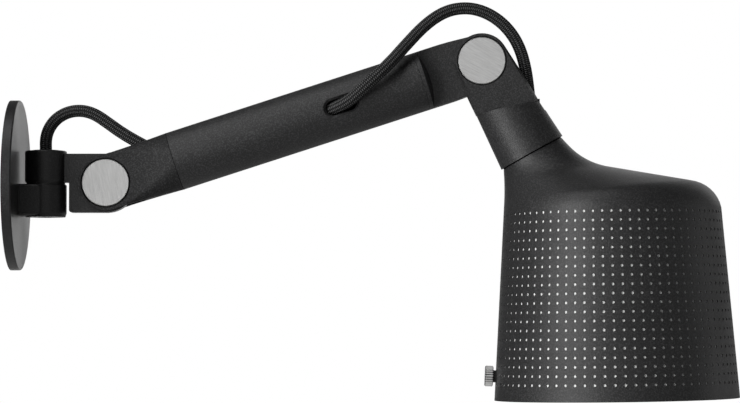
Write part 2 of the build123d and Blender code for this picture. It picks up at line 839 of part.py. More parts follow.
with BuildPart() as holder_contact:
    with BuildSketch(head_section(socket_floor)):
        Circle(1.6)
    extrude(amount=2)
keep(holder_contact, "holder_contact")

with BuildPart() as bulb_cap:
    with BuildSketch(head_side):
        with BuildLine():
            Polyline(
                (socket_floor + 2, 0),
                (socket_floor + 2, 2.5),
                (socket_floor + 4.5, bulb_cap_radius),
                (holder_end, bulb_cap_radius),
                (holder_end, 0),
                close=True,
            )
        make_face()
    revolve(axis=head_line)
keep(bulb_cap, "bulb_cap")

bulb_seam_radius = (bulb_globe_radius**2 - (bulb_globe_centre - bulb_seam) ** 2) ** 0.5
with BuildPart() as bulb_base:
    with BuildSketch(head_side):
        with BuildLine():
            Polyline(
                (holder_end, 0),
                (holder_end, bulb_cap_radius),
                (holder_end + 1.5, 9.2),
                (bulb_seam, bulb_seam_radius),
                (bulb_seam, 0),
                close=True,
            )
        make_face()
    revolve(axis=head_line)
keep(bulb_base, "bulb_base")

with BuildPart() as bulb_globe:
    with BuildSketch(head_side):
        with BuildLine():
            ThreePointArc(
                (bulb_seam, bulb_seam_radius),
                (bulb_globe_centre, bulb_globe_radius),
                (bulb_globe_centre + bulb_globe_radius, 0),
            )
            Polyline(
                (bulb_globe_centre + bulb_globe_radius, 0), (bulb_seam, 0), (bulb_seam, bulb_seam_radius)
            )
        make_face()
    revolve(axis=head_line)
keep(bulb_globe, "bulb_globe")

# ---------------------------------------------------------------- cord and wires


def bend_radii(points):
    """The largest arc that each corner's two runs allow."""
    radii = []
    for before, corner, after in zip(points, points[1:], points[2:]):
        half_turn = radians((corner - before).get_angle(after - corner)) / 2
        shorter = min((corner - before).length, (after - corner).length)
        radii.append(0.45 * shorter / tan(half_turn))
    return radii


def tube_along(points, radius):
    """Solid tube of straight runs and tangent arcs, and the length of its middle line."""
    with BuildPart() as tube:
        with BuildLine() as path:
            FilletPolyline(*points, radius=bend_radii(points))
        with BuildSketch(Plane(origin=points[0], z_dir=points[1] - points[0])):
            Circle(radius)
        sweep(path=path.line)
    return tube.part, path.wires()[0].length


def cord_piece(points, name):
    """One stretch of the cord, written out with its bends and its volume for comparison."""
    solid, length = tube_along(points, cord_radius)
    solid.label = name
    export_step(solid, f"parts/{name}.step")
    radii = [round(r, 1) for r in bend_radii(points)]
    print(f"{name}: length {length:.1f}, volume {solid.volume:.0f} of {pi * cord_radius**2 * length:.0f}")
    print(f"  bend radii {radii}")


# The stretches meet in the middle of a straight run, so that the cord goes on without a kink.
rear_meeting = (Vector(72.3, 0, 25.5) + arm_point(37.5, 3.8)) / 2
front_meeting = (arm_point(98, -4.1, 0.2) + arm_point(120, -1.9, -3.2)) / 2

# Out of the upper collar, over the rear joint, and into the arm
rear_loop = [
    Vector(swivel_x, 0, cord_foot_z),
    Vector(20, 0, 18.8),
    Vector(19.75, 0, 27.7),
    Vector(22.4, 0, 34.7),
    Vector(27.4, 0, 40.0),
    Vector(34.2, 0, 43.1),
    Vector(41.6, 0, 43.5),
    Vector(48.7, 0, 41.2),
    Vector(55.8, 0, 36.3),
    Vector(63.4, 0, 30.8),
    Vector(72.3, 0, 25.5),
    rear_meeting,
]
cord_piece(rear_loop, "cord_rear_loop")

# Along the inside of the arm tube
arm_run = [
    rear_meeting,
    arm_point(37.5, 3.8),
    arm_point(46.5, -0.9),
    arm_point(57.5, -3.3),
    arm_point(77, -4.6, 0.5),
    arm_point(98, -4.1, 0.2),
    front_meeting,
]
cord_piece(arm_run, "cord_arm_run")

# Out of the slot in the tube's near side, over the front joint, and down into the yoke
front_loop = [
    front_meeting,
    arm_point(120, -1.9, -3.2),
    arm_point(131, -0.5, -8),
    arm_point(139.5, -0.1, -13.6),
    arm_point(147.5, 0.7, -18.9),
    arm_point(154, 3.2, -21.9),
    arm_point(161, 6.4, -23.6),
    arm_point(169, 10.2, -23.4),
    arm_point(179, 15.4, -19.6),
    arm_point(187.3, 20.7, -13.9),
    Vector(239.4, -7.2, 92.6),
    Vector(251.1, -3.5, 100.9),
    Vector(262.7, -1.2, 103.4),
    Vector(273.4, -0.3, 101.5),
    Vector(283.1, 0, 95.9),
    Vector(290.5, 0, 87.9),
    Vector(295.3, 0, 78.6),
    Vector(297.9, 0, 68.7),
    Vector(299.3, 0, 59.6),
    cord_end + cord_end_rise * 7.2,
    cord_end,
]
cord_piece(front_loop, "cord_front_loop")


def wire_trio(points, name):
    """Three insulated wires side by side along one route."""
    with BuildPart() as wires:
        for spread in (-wire_spread, 0, wire_spread):
            add(tube_along([point + Vector(0, spread, 0) for point in points], wire_radius)[0])
    keep(wires, name)


wire_trio(
    [
        Vector(0.4, 0, wire_channel_z),
        Vector(15.5, 0, wire_channel_z),
        Vector(swivel_x, 0, -3),
        Vector(swivel_x, 0, cord_foot_z),
    ],
    "supply_wires",
)


def head_point(along, out):
    return front_pivot + head_axis * along + head_out * out


wire_trio(
    [
        cord_end - Vector(0, 0, 0.2),
        Vector(cord_end.X, 0, 38.5),
        head_point(48, 5),
        head_point(52.2, 0.6),
        head_point(61, 0),
        head_point(70, 0.05),
        head_point(78.5, 0),
    ],
    "head_wires",
)
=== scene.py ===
# %% [markdown]
# # Dressing an articulating wall lamp
#
# The lamp is a round plate on the wall, a small vertical swivel, a round arm between two tilt joints with
# bright steel discs, and a moulded metal shade pierced with rows of small holes. A braided cord runs over
# both joints. The solid model brings every piece at its real size and place. This script adds what the
# eye looks for: the pierced wall of the shade, the braid of the cord, and the finishes. All lengths are in
# metres: +X points out of the wall, +Z up, and the camera looks along +Y.

from math import cos, pi, radians, sin, tan

import bmesh
import bpy
from mathutils import Matrix, Vector


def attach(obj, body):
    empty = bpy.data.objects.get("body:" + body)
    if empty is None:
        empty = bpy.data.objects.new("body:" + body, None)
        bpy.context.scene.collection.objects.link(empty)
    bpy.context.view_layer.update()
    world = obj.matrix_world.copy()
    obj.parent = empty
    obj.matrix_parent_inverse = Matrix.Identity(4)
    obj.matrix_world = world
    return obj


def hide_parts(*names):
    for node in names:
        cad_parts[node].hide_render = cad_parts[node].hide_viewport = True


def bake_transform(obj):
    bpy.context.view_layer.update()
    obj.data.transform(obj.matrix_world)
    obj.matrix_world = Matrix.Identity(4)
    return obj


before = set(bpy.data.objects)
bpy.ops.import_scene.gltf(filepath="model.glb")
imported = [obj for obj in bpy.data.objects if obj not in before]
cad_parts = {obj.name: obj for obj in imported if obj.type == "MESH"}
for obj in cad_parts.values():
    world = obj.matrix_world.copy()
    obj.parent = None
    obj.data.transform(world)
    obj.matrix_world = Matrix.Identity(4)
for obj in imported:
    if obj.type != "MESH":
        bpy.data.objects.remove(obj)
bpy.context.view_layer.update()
scene = bpy.context.scene

# %% [markdown]
# ## The camera
#
# The photograph was taken with a long lens from about 1.6 m, level with the lower half of the shade: its rim
# curves up by less than a millimetre. We could raise the lens, as a studio camera does to keep upright edges
# upright, but from so far a tilt of under three degrees does the same within half a pixel, and it keeps the
# lamp in the middle of the frame when the camera walks round it.

# %% Place the camera
aim = Vector((0.2078, 0, -0.0093))
eye = Vector((0.2086, -1.635, -0.0802))
view_width = 0.4286
sensor_width = 36
camera_data = bpy.data.cameras.new("studio_camera")
camera_data.sensor_width = sensor_width
camera_data.lens = sensor_width * (aim - eye).length / view_width
camera = bpy.data.objects.new("studio_camera", camera_data)
camera.location = eye
camera.rotation_euler = (aim - eye).to_track_quat("-Z", "Y").to_euler()
scene.collection.objects.link(camera)
scene.camera = camera
print("lens", round(camera_data.lens, 1), "mm, from", round((aim - eye).length, 3), "m away")

# %% [markdown]
# ## The cord's line
#
# The lamp hangs on one braided cord. It leaves the upper collar, loops over the first tilt joint, runs
# inside the arm, comes out of a slot, loops over the second joint and goes down into the head. A real cord
# never has a corner, so each stretch is a smooth spline drawn by a few points, the same ones that the solid
# model uses. Two stretches cross a moving joint, so they are made apart from the one inside the arm, and
# meet it in the middle of a straight run.

# %% The points that lead each stretch
over_rear_joint = [
    (20.0, 0, 10.0), (20.0, 0, 18.8), (19.75, 0, 27.7), (22.4, 0, 34.7), (27.4, 0, 40.0),
    (34.2, 0, 43.1), (41.6, 0, 43.5), (48.7, 0, 41.2), (55.8, 0, 36.3), (63.4, 0, 30.8),
    (72.3, 0, 25.5), (81.095, 0, 20.951),
]
inside_arm = [
    (81.095, 0, 20.951), (89.89, 0, 16.402), (99.902, 0, 14.713), (111.106, 0, 15.83),
    (130.053, 0.5, 20.619), (149.871, 0.2, 27.584), (159.992, -1.5, 32.030),
]
over_front_joint = [
    (159.992, -1.5, 32.030), (170.114, -3.2, 36.475), (180.143, -8.0, 41.206),
    (188.103, -13.6, 44.213), (195.465, -18.9, 47.446), (200.874, -21.9, 51.832),
    (206.542, -23.6, 57.039), (212.977, -23.4, 63.125), (220.880, -19.6, 71.160),
    (227.136, -13.9, 78.766), (239.4, -7.2, 92.6), (251.1, -3.5, 100.9), (262.7, -1.2, 103.4),
    (273.4, -0.3, 101.5), (283.1, 0, 95.9), (290.5, 0, 87.9), (295.3, 0, 78.6), (297.9, 0, 68.7),
    (299.3, 0, 59.6), (300.162, 0, 51.180), (300.7, 0, 44.0),
]
cord_diameter = 0.0071


# %% Draw the smooth line through them
def spline_line(name, leading_points):
    """Points along the smooth spline that the leading points, in millimetres, draw."""
    line = bpy.data.curves.new(name, "CURVE")
    line.dimensions = "3D"
    line.resolution_u = 10
    spline = line.splines.new("NURBS")
    spline.points.add(len(leading_points) - 1)
    for point, (x, y, z) in zip(spline.points, leading_points):
        point.co = (x / 1000, y / 1000, z / 1000, 1)
    spline.order_u = 3
    spline.use_endpoint_u = True
    holder = bpy.data.objects.new(name, line)
    scene.collection.objects.link(holder)
    bpy.context.view_layer.update()
    mesh = bpy.data.meshes.new_from_object(holder)
    points = [v.co.copy() for v in mesh.vertices]
    bpy.data.objects.remove(holder)
    bpy.data.meshes.remove(mesh)
    return points


def length_of(points):
    return sum((b - a).length for a, b in zip(points, points[1:]))


# %% [markdown]
# ## A tube with its own coordinates
#
# The braid must follow the cord, so the tube carries a UV map: once round for U, and along for V, counted in
# turns too, so that a square on the map is a square on the cord. We start from one circle and extrude it
# from point to point, turning it only as much as the line turns, so that the braid doesn't twist.


# %% Draw a ring out by one step
def drawn_out(bm, edges, marks):
    """Extrude a ring's edges, and hand each vertex's mark on to the new vertex above it."""
    grown = bmesh.ops.extrude_edge_only(bm, edges=edges)["geom"]
    fresh = {g for g in grown if isinstance(g, bmesh.types.BMVert)}
    edges = [g for g in grown if isinstance(g, bmesh.types.BMEdge) and fresh.issuperset(g.verts)]
    handed = {}
    for v in fresh:
        behind = next(e.other_vert(v) for e in v.link_edges if e.other_vert(v) in marks)
        handed[v] = marks[behind]
    return edges, handed


# %% Point a shape, and make an object of it
def turned_to(direction):
    """The turn that points what was made along Z in another direction."""
    return Vector((0, 0, 1)).rotation_difference(direction).to_matrix().to_4x4()


def piece_from(bm, name):
    """An object made of a finished bmesh. It stands at the origin, and its place is in its mesh."""
    mesh = bpy.data.meshes.new(name)
    bm.to_mesh(mesh)
    bm.free()
    piece = bpy.data.objects.new(name, mesh)
    scene.collection.objects.link(piece)
    return piece


# %% Sweep a circle along a line
def swept_tube(name, path, diameter, sides=28, along=0.0):
    bm = bmesh.new()
    uv = bm.loops.layers.uv.new("along_cord")
    heading = (path[1] - path[0]).normalized()
    start = Matrix.Translation(path[0]) @ turned_to(heading)
    ring = bmesh.ops.create_circle(bm, segments=sides, radius=diameter / 2, matrix=start)["verts"]
    spot = {v: i for i, v in enumerate(ring)}
    place = {v: (i, along) for i, v in enumerate(ring)}
    edges = bm.edges[:]
    girth = pi * diameter
    for i in range(1, len(path)):
        last = i == len(path) - 1
        onward = (path[i] - path[i - 1]) if last else (path[i + 1] - path[i - 1])
        turn = heading.rotation_difference(onward.normalized()).to_matrix().to_4x4()
        step = Matrix.Translation(path[i]) @ turn @ Matrix.Translation(-path[i - 1])
        heading = onward.normalized()
        along += (path[i] - path[i - 1]).length / girth
        edges, spot = drawn_out(bm, edges, spot)
        place.update({v: (i, along) for v, i in spot.items()})
        bmesh.ops.transform(bm, matrix=step, verts=list(spot))
    for face in bm.faces:
        seam = {place[v][0] for v in face.verts} == {0, sides - 1}
        for loop in face.loops:
            around, down = place[loop.vert]
            loop[uv].uv = ((sides if seam and around == 0 else around) / sides, down)
        face.smooth = True
    bmesh.ops.holes_fill(bm, edges=[e for e in bm.edges if e.is_boundary])
    bmesh.ops.recalc_face_normals(bm, faces=bm.faces)
    return piece_from(bm, name), along


# %% [markdown]
# ## The three stretches
#
# The stretch in the tube rides on the arm. The other two each cross a joint; here they stay where they are
# drawn, at rest.

# %% Make the three stretches of cord
rear_path = spline_line("rear_line", over_rear_joint)
arm_path = spline_line("arm_line", inside_arm)
front_path = spline_line("front_line", over_front_joint)
rear_cord, reached = swept_tube("cord_over_rear_joint", rear_path, cord_diameter)
arm_cord, reached = swept_tube("cord_in_arm", arm_path, cord_diameter, along=reached)
front_cord, reached = swept_tube("cord_over_front_joint", front_path, cord_diameter, along=reached)
for cord, path, node in (
    (rear_cord, rear_path, "cord_rear_loop"),
    (arm_cord, arm_path, "cord_arm_run"),
    (front_cord, front_path, "cord_front_loop"),
):
    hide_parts(node)
    print(cord.name, "is", round(1000 * length_of(path)), "mm long")
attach(arm_cord, "arm")
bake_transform(rear_cord)
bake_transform(front_cord)

# %% [markdown]
# ## Studio
#
# The lamp was photographed against white, so the world is white for the camera and for rays that pass through
# something. Reflections see a dim room with three brighter places: white behind the lamp, grey behind the
# camera, and a grey card at the right, level with the lamp. As a light the world is dimmer still. A dark
# object is drawn by its reflections, and here the card draws the far edge of the shade.


# %% Small tools for the world's nodes
def calculate(tree, operation, first, second=None):
    node = tree.nodes.new("ShaderNodeMath")
    node.operation = operation
    for socket, value in zip(node.inputs, (first, second)):
        if value is None:
            continue
        if isinstance(value, (int, float)):
            socket.default_value = value
        else:
            tree.links.new(value, socket)
    return node.outputs[0]


def eased(tree, source, start, end, low=0.0, high=1.0):
    """A value that eases from low to high while the source goes from start to end."""
    node = tree.nodes.new("ShaderNodeMapRange")
    node.interpolation_type = "SMOOTHSTEP"
    for socket, value in zip(("From Min", "From Max", "To Min", "To Max"), (start, end, low, high)):
        node.inputs[socket].default_value = value
    tree.links.new(source, node.inputs["Value"])
    return node.outputs["Result"]


def white_glow(tree, strength):
    node = tree.nodes.new("ShaderNodeBackground")
    node.inputs["Color"].default_value = (1, 1, 1, 1)
    if isinstance(strength, float):
        node.inputs["Strength"].default_value = strength
    else:
        tree.links.new(strength, node.inputs["Strength"])
    return node.outputs[0]


def chosen(tree, share, first, second):
    node = tree.nodes.new("ShaderNodeMixShader")
    for socket, source in zip(node.inputs, (share, first, second)):
        tree.links.new(source, socket)
    return node.outputs[0]


# %% White behind, dim all round
world = bpy.data.worlds.new("studio")
scene.world = world
world.use_nodes = True
sky = world.node_tree
sky.nodes.clear()
dim, grey, card_grey, white, faint = 0.10, 0.40, 0.30, 1.0, 0.08
direction = sky.nodes.new("ShaderNodeTexCoord")
split = sky.nodes.new("ShaderNodeSeparateXYZ")
sky.links.new(direction.outputs["Generated"], split.inputs["Vector"])
behind_lamp = eased(sky, split.outputs["Y"], 0.93, 0.992, dim, white)
behind_camera = eased(sky, split.outputs["Y"], -0.70, -0.95, dim, grey)
at_the_right = eased(sky, split.outputs["X"], 0.05, 0.55, 0.0, card_grey)
level_with_lamp = eased(sky, calculate(sky, "ABSOLUTE", split.outputs["Z"]), 0.55, 0.20)
card = calculate(sky, "MULTIPLY", at_the_right, level_with_lamp)
mirrored = calculate(sky, "MAXIMUM", calculate(sky, "MAXIMUM", behind_lamp, behind_camera), card)
ray = sky.nodes.new("ShaderNodeLightPath")
straight = calculate(sky, "MAXIMUM", ray.outputs["Is Camera Ray"], ray.outputs["Is Transmission Ray"])
around = chosen(sky, ray.outputs["Is Glossy Ray"], white_glow(sky, faint), white_glow(sky, mirrored))
output = sky.nodes.new("ShaderNodeOutputWorld")
sky.links.new(chosen(sky, straight, around, white_glow(sky, white)), output.inputs["Surface"])
scene.view_settings.view_transform = "Standard"
print("world:", len(sky.nodes), "nodes")

# %% [markdown]
# ## Five soft lights
#
# A tall soft light at the left gives the bright band on the shade and reaches through its holes. Four weak
# ones, above, at the right, behind and by the camera, open the shadows. Large lights are the right tool for a
# matt coat: a small one would draw a hard streak down every round part.

# %% Place the lights
middle = Vector((0.22, 0, 0))
for name, place, width, height, power in (
    ("key_left", (-1.20, -1.30, 0.18), 1.0, 2.3, 46),
    ("overhead", (-0.35, -0.45, 1.50), 1.2, 1.0, 7),
    ("from_the_right", (2.50, 0.30, 0.30), 0.9, 1.8, 4),
    ("from_behind", (0.90, 1.60, 0.70), 1.5, 1.0, 4),
    ("by_camera", (0.35, -1.9, 0.35), 1.2, 0.9, 0.5),
):
    data = bpy.data.lights.new(name, "AREA")
    data.shape = "RECTANGLE"
    data.size, data.size_y, data.energy = width, height, power
    light = bpy.data.objects.new(name, data)
    light.location = place
    light.rotation_euler = (middle - Vector(place)).to_track_quat("-Z", "Y").to_euler()
    scene.collection.objects.link(light)
    print(name, power, "W")

# %% [markdown]
# ## The floor
#
# The lamp hangs on a wall, so the floor only keeps it from floating in nothing. It lies far below, out of the
# photograph's view, where it can't hide the lamp from a camera that looks up. One square is enough.

# %% A square far below
floor_level, floor_half_width = -2.4, 6
bm = bmesh.new()
under_lamp = Matrix.Translation((0.2, 0, floor_level))
bmesh.ops.create_grid(bm, x_segments=1, y_segments=1, size=floor_half_width, matrix=under_lamp)
floor = piece_from(bm, "floor")
print("floor at", floor_level, "m")

# %% [markdown]
# ## Finishes
#
# A finish is a small graph of nodes. The shader at its end is always the same; what changes is what feeds its
# colour, roughness and bump. The patterns read Object coordinates, which are metres here, so a noise with a
# scale of 1,250 has grains 0.8 millimetres wide.


# %% A helper for node graphs
def new_finish(name, colour, roughness, metallic=0.0):
    material = bpy.data.materials.new(name)
    material.use_nodes = True
    tree = material.node_tree
    shader = tree.nodes["Principled BSDF"]
    shader.inputs["Base Color"].default_value = (*colour, 1)
    shader.inputs["Roughness"].default_value = roughness
    shader.inputs["Metallic"].default_value = metallic
    return material, tree, shader


def noise_of(tree, source, scale, detail=2.0, roughness=0.5):
    noise = tree.nodes.new("ShaderNodeTexNoise")
    noise.inputs["Scale"].default_value = scale
    noise.inputs["Detail"].default_value = detail
    noise.inputs["Roughness"].default_value = roughness
    tree.links.new(source, noise.inputs["Vector"])
    return noise


def ramp_of(tree, source, stops):
    ramp = tree.nodes.new("ShaderNodeValToRGB")
    for stop, (position, colour) in zip(ramp.color_ramp.elements, stops):
        stop.position, stop.color = position, (*colour, 1)
    tree.links.new(source, ramp.inputs["Fac"])
    return ramp


def range_of(tree, source, low, high, to_low, to_high):
    mapped = tree.nodes.new("ShaderNodeMapRange")
    for socket, value in zip(("From Min", "From Max", "To Min", "To Max"), (low, high, to_low, to_high)):
        mapped.inputs[socket].default_value = value
    tree.links.new(source, mapped.inputs["Value"])
    return mapped


def bump_into(tree, shader, source, strength, depth):
    bump = tree.nodes.new("ShaderNodeBump")
    bump.inputs["Strength"].default_value = strength
    bump.inputs["Distance"].default_value = depth
    tree.links.new(source, bump.inputs["Height"])
    tree.links.new(bump.outputs["Normal"], shader.inputs["Normal"])
    return bump


# %% [markdown]
# ### Powder coat
#
# The black parts are powder-coated: the coat is matt, with a fine dry grain that sparkles where light rakes
# over it. Two noises do it: a fine one gives the grain its bump and its paler specks, and a broad one lets
# the gloss drift a little, as on any sprayed part. No two castings take a coat alike: the plate and the
# collars are a little smoother and darker, and the rear fork is drier, so they get coats of their own.


# %% Powder coat
grain_scale, drift_scale = 1250, 22


def powder_coat(name, colour, speck, roughness, shine=0.40):
    material, tree, shader = new_finish(name, colour, roughness)
    place = tree.nodes.new("ShaderNodeTexCoord").outputs["Object"]
    grain = noise_of(tree, place, grain_scale, detail=2.0, roughness=0.6)
    drift = noise_of(tree, place, drift_scale, detail=1.0)
    specks = ramp_of(tree, grain.outputs["Fac"], [(0.46, colour), (0.66, speck)])
    gloss = range_of(tree, drift.outputs["Fac"], 0.3, 0.7, roughness - 0.04, roughness + 0.04)
    tree.links.new(specks.outputs["Color"], shader.inputs["Base Color"])
    tree.links.new(gloss.outputs["Result"], shader.inputs["Roughness"])
    bump_into(tree, shader, grain.outputs["Fac"], 0.50, 0.0003)
    shader.inputs["Specular IOR Level"].default_value = shine
    return material


black_coat = powder_coat("black_powder_coat", (0.010, 0.010, 0.0103), (0.039, 0.039, 0.040), 0.49, 0.45)
satin_coat = powder_coat("satin_powder_coat", (0.008, 0.008, 0.0083), (0.022, 0.022, 0.023), 0.34)
dry_coat = powder_coat("dry_powder_coat", (0.009, 0.009, 0.0093), (0.036, 0.036, 0.037), 0.62, 0.22)

# %% [markdown]
# ### Brushed steel
#
# The discs and the knob are bare steel, brushed in one direction. A noise stretched to thin streaks stands
# for the scratches. It feeds the roughness and a slight bump, so that the streaks catch the light as scratches
# do, where a painted pattern would stay the same from every side. A second noise clouds the colour a little.


# %% Brushed steel
streak_scale, cloud_scale, streak_stretch = 2600, 1700, 14
smoothest, roughest = 0.36, 0.54


def brushed_steel(name, angle, colour=(0.74, 0.74, 0.735)):
    material, tree, shader = new_finish(name, colour, smoothest, metallic=1.0)
    place = tree.nodes.new("ShaderNodeTexCoord").outputs["Object"]
    turned = tree.nodes.new("ShaderNodeMapping")
    turned.vector_type = "TEXTURE"
    turned.inputs["Rotation"].default_value = (0, angle, 0)
    turned.inputs["Scale"].default_value = (1, 1, streak_stretch)
    tree.links.new(place, turned.inputs["Vector"])
    streaks = noise_of(tree, turned.outputs["Vector"], streak_scale, detail=3.0, roughness=0.6)
    clouds = noise_of(tree, turned.outputs["Vector"], cloud_scale, detail=3.0, roughness=0.65)
    tone = ramp_of(tree, clouds.outputs["Fac"], [(0.30, tuple(0.80 * c for c in colour)), (0.70, colour)])
    rough = range_of(tree, streaks.outputs["Fac"], 0.3, 0.7, smoothest, roughest)
    tree.links.new(tone.outputs["Color"], shader.inputs["Base Color"])
    tree.links.new(rough.outputs["Result"], shader.inputs["Roughness"])
    bump_into(tree, shader, streaks.outputs["Fac"], 0.12, 0.0001)
    return material


# The rear discs take a darker copy of the front discs' steel: painted shade, offsetting the stronger key light
# that falls on them.
rear_disc_painted_shade_steel = brushed_steel("rear_disc_painted_shade_steel", radians(-12), (0.55, 0.55, 0.545))
front_disc_steel = brushed_steel("front_disc_steel", radians(-62))
knob_steel = brushed_steel("knob_steel", radians(90), (0.88, 0.88, 0.875))
# A nearly black copy of the steel: painted shade for the bottoms of the knob's grooves.
groove_painted_shade_steel = brushed_steel("groove_painted_shade_steel", radians(90), (0.04, 0.04, 0.04))

# %% [markdown]
# ### Braided cord
#
# A textile cord is a tube of plaited yarns. Up close the plait is a set of rows along the cord, and each row
# is a chain of short slanting stitches. On the cord's own map one sine wave round the cord draws the rows
# and another along it the stitches, shifted by half a stitch from row to row. Their product lifts the
# surface, and it paints the light too: a painted highlight on the backs of the stitches and painted shade in
# the valleys between them.

# %% Textile braid
textile, tree, shader = new_finish("dark_textile_braid", (0.02, 0.02, 0.021), 0.72)
on_cord = tree.nodes.new("ShaderNodeUVMap")
on_cord.uv_map = "along_cord"
parts = tree.nodes.new("ShaderNodeSeparateXYZ")
tree.links.new(on_cord.outputs["UV"], parts.inputs["Vector"])
yarn_rows, stitches = 10, 19
row_at = calculate(tree, "MULTIPLY", parts.outputs["X"], yarn_rows)
stagger = calculate(tree, "MULTIPLY", calculate(tree, "FLOOR", row_at), 0.5)
stitch_at = calculate(tree, "ADD", calculate(tree, "MULTIPLY", parts.outputs["Y"], stitches), stagger)
leaning = calculate(tree, "ADD", stitch_at, calculate(tree, "MULTIPLY", row_at, 0.25))


def humps(tree, source):
    """A row of round humps, one to each whole step of the source."""
    return calculate(tree, "ABSOLUTE", calculate(tree, "SINE", calculate(tree, "MULTIPLY", source, pi)))


rows_high, stitch_high = humps(tree, row_at), humps(tree, leaning)
braid = calculate(tree, "MULTIPLY", rows_high, calculate(tree, "POWER", stitch_high, 1.5))
# Painted highlight on the stitches' backs, painted shade in the valleys between them.
yarn_painted_highlight_and_shade = ramp_of(tree, braid, [(0.25, (0.002, 0.002, 0.002)), (0.95, (0.13, 0.13, 0.132))])
tree.links.new(yarn_painted_highlight_and_shade.outputs["Color"], shader.inputs["Base Color"])
bump_into(tree, shader, braid, 1.0, 0.0006)
shader.inputs["Sheen Weight"].default_value = 0.03
shader.inputs["Sheen Roughness"].default_value = 0.4
shader.inputs["Specular IOR Level"].default_value = 0.25
for cord in (rear_cord, arm_cord, front_cord):
    cord.data.materials.append(textile)
print("braid:", yarn_rows, "rows of", stitches, "stitches to a turn")

# %% [markdown]
# ### Plain finishes for what is held inside
#
# Plastic, zinc-plated steel, brass, white enamel and the opal bulb each get a little noise in their gloss,
# because nothing real is perfectly even. The painted-shadow black, for the thin rings in the gaps, gives back
# almost no light: it paints the shadow of a joint.


# %% Plain finishes
def plain_finish(name, colour, roughness, metallic=0.0, spread=0.06, scale=180.0, bump=0.05):
    material, tree, shader = new_finish(name, colour, roughness, metallic)
    place = tree.nodes.new("ShaderNodeTexCoord").outputs["Object"]
    cloud = noise_of(tree, place, scale, detail=2.0)
    gloss = range_of(tree, cloud.outputs["Fac"], 0.3, 0.7, roughness - spread, roughness + spread)
    tone = ramp_of(tree, cloud.outputs["Fac"], [(0.3, tuple(0.93 * c for c in colour)), (0.7, colour)])
    tree.links.new(gloss.outputs["Result"], shader.inputs["Roughness"])
    tree.links.new(tone.outputs["Color"], shader.inputs["Base Color"])
    bump_into(tree, shader, cloud.outputs["Fac"], bump, 0.0002)
    return material


black_plastic = plain_finish("black_plastic", (0.012, 0.012, 0.012), 0.5, scale=900)
# A black that reflects almost nothing: painted shadow for the thin rings in the joints' gaps.
painted_shadow_black = plain_finish("painted_shadow_black", (0.0015, 0.0015, 0.0015), 0.85, scale=900)
zinc_steel = plain_finish("zinc_steel", (0.28, 0.28, 0.275), 0.62, metallic=1.0)
contact_brass = plain_finish("contact_brass", (0.70, 0.52, 0.24), 0.32, metallic=1.0)
holder_plastic = plain_finish("holder_plastic", (0.72, 0.71, 0.68), 0.42)
wire_jacket = plain_finish("wire_jacket", (0.26, 0.20, 0.12), 0.45)
white_enamel = plain_finish("white_enamel", (0.92, 0.92, 0.905), 0.45, scale=700)
bulb_plastic = plain_finish("bulb_plastic", (0.84, 0.84, 0.82), 0.35)
opal, tree, shader = new_finish("opal_bulb", (0.90, 0.90, 0.87), 0.22)
shader.inputs["Subsurface Weight"].default_value = 0.35
shader.inputs["Subsurface Radius"].default_value = (0.004, 0.004, 0.004)

# The painted-shadow black keeps nearly no gloss, so it reads as shade.
painted_shadow_shader = painted_shadow_black.node_tree.nodes["Principled BSDF"]
painted_shadow_shader.inputs["Specular IOR Level"].default_value = 0.05

# %% [markdown]
# ### The floor's finish
#
# The lights are set for the lamp, and leave a floor so far below them dark. So it gets a pale paint, and over
# it a glow that only the camera and, more weakly, reflections see: it throws no light on the lamp.

# %% A pale paint with a glow
glow_seen, glow_mirrored = 0.80, 0.30
pale_floor = plain_finish("pale_floor", (0.80, 0.80, 0.79), 0.8, scale=4, bump=0.02)
tree = pale_floor.node_tree
ray, glow, both = (tree.nodes.new("ShaderNode" + kind) for kind in ("LightPath", "Emission", "AddShader"))
seen = calculate(tree, "MAXIMUM", ray.outputs["Is Glossy Ray"], ray.outputs["Is Transmission Ray"])
seen = calculate(tree, "MULTIPLY", seen, glow_mirrored)
seen = calculate(tree, "MAXIMUM", ray.outputs["Is Camera Ray"], seen)
tree.links.new(calculate(tree, "MULTIPLY", seen, glow_seen), glow.inputs["Strength"])
tree.links.new(tree.nodes["Principled BSDF"].outputs[0], both.inputs[0])
tree.links.new(glow.outputs[0], both.inputs[1])
tree.links.new(both.outputs[0], tree.nodes["Material Output"].inputs["Surface"])
floor.data.materials.append(pale_floor)

# %% [markdown]
# ## Each solid and its finish
#
# The solids keep their shape and place. Only their material changes: each is looked up by name, and what isn't
# in the list is a small hidden piece of zinc-plated steel.

# %% Give each solid its finish
finish_of = {
    "wall_plate": satin_coat, "wall_knuckle": satin_coat, "swivel_head": satin_coat, "rear_fork": dry_coat,
    "arm_tube": black_coat, "front_tongue": black_coat, "head_yoke": black_coat, "shade": black_coat,
    "rear_pivot_cap_near": rear_disc_painted_shade_steel, "rear_pivot_cap_far": rear_disc_painted_shade_steel,
    "front_pivot_cap_near": front_disc_steel, "front_pivot_cap_far": front_disc_steel,
    "dimmer_knob": knob_steel, "dimmer_bushing": black_plastic, "holder_contact": contact_brass,
    "holder_cap": holder_plastic, "lamp_holder": holder_plastic, "supply_wires": wire_jacket,
    "head_wires": wire_jacket, "shade_liner": white_enamel, "bulb_base": bulb_plastic, "bulb_globe": opal,
    "swivel_washer": black_plastic, "cord_grommet": black_plastic, "rear_friction_washers": black_plastic,
    "front_friction_washers": black_plastic, "cord_clamp": black_plastic, "neck_washer": black_plastic,
    "dimmer_body": black_plastic,
}
for name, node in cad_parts.items():
    node.data.materials.clear()
    node.data.materials.append(finish_of.get(name, zinc_steel))
print(len(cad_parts), "solids have a finish")

